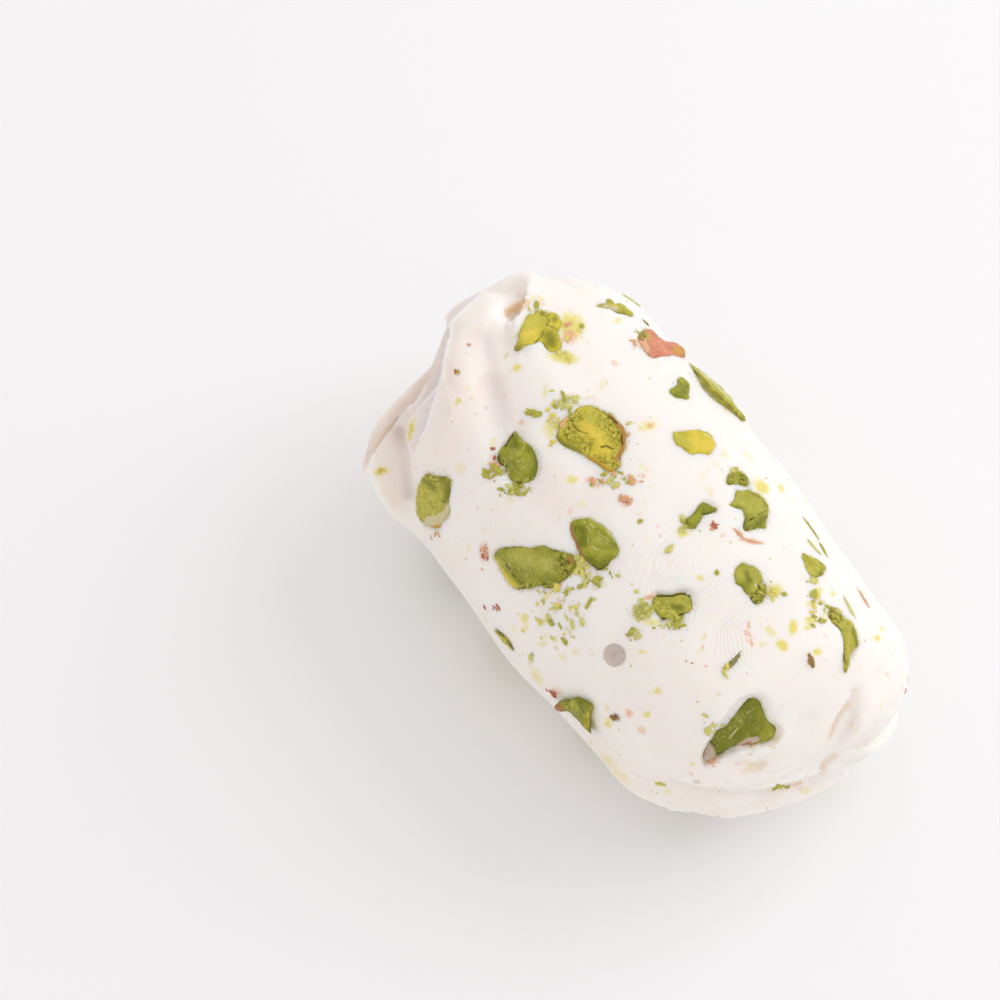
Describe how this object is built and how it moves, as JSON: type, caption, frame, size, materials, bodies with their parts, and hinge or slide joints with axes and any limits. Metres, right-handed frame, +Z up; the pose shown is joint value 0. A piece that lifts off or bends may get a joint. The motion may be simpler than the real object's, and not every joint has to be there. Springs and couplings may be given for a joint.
{
  "type": "halva",
  "caption": "Log of white whipped nougat halva with cut pistachios set in it, its ends folded shut like a wrapped sweet, lying on its side.",
  "frame": {"origin": "on the pressed flat that the log rests on, under its axis at half its length", "axes": "+X along the log towards the end that turns to the viewer, +Y across it, +Z up"},
  "size_m": [0.0533, 0.0301, 0.0273],
  "materials": {
    "nougat": "smooth matte-satin whipped nougat, warm white",
    "pistachio_green": "cut pistachio, dark olive green, matt and slightly oily",
    "pistachio_pale_green": "cut pistachio, light green, matt",
    "pistachio_yellow": "cut pistachio, yellow-green and crumbly, matt",
    "pistachio_skin": "pistachio with its thin reddish skin on, matt"
  },
  "bodies": {
    "root": {"nougat": "nougat", "pistachio_arrow": "pistachio_pale_green", "pistachio_blob": "pistachio_green", "pistachio_bridge_large": "pistachio_green", "pistachio_bridge_long": "pistachio_green", "pistachio_bridge_small": "pistachio_green", "pistachio_chip_yellow": "pistachio_yellow", "pistachio_crescent": "pistachio_pale_green", "pistachio_crown": "pistachio_yellow", "pistachio_crumb_edge": "pistachio_pale_green", "pistachio_crumbly": "pistachio_yellow", "pistachio_edge_blade": "pistachio_pale_green", "pistachio_fleck_dark": "pistachio_green", "pistachio_kite": "pistachio_green", "pistachio_leaf": "pistachio_pale_green", "pistachio_left_edge": "pistachio_green", "pistachio_left_sliver": "pistachio_pale_green", "pistachio_more_01": "pistachio_green", "pistachio_more_02": "pistachio_pale_green", "pistachio_more_03": "pistachio_green", "pistachio_more_04": "pistachio_yellow", "pistachio_more_05": "pistachio_green", "pistachio_more_06": "pistachio_pale_green", "pistachio_more_07": "pistachio_green", "pistachio_more_08": "pistachio_yellow", "pistachio_more_09": "pistachio_green", "pistachio_more_10": "pistachio_pale_green", "pistachio_more_11": "pistachio_green", "pistachio_more_12": "pistachio_yellow", "pistachio_more_13": "pistachio_green", "pistachio_more_14": "pistachio_pale_green", "pistachio_more_15": "pistachio_green", "pistachio_round": "pistachio_green", "pistachio_skinned": "pistachio_skin", "pistachio_slab": "pistachio_green", "pistachio_square": "pistachio_green", "pistachio_wedge": "pistachio_green"}
  },
  "joints": []
}
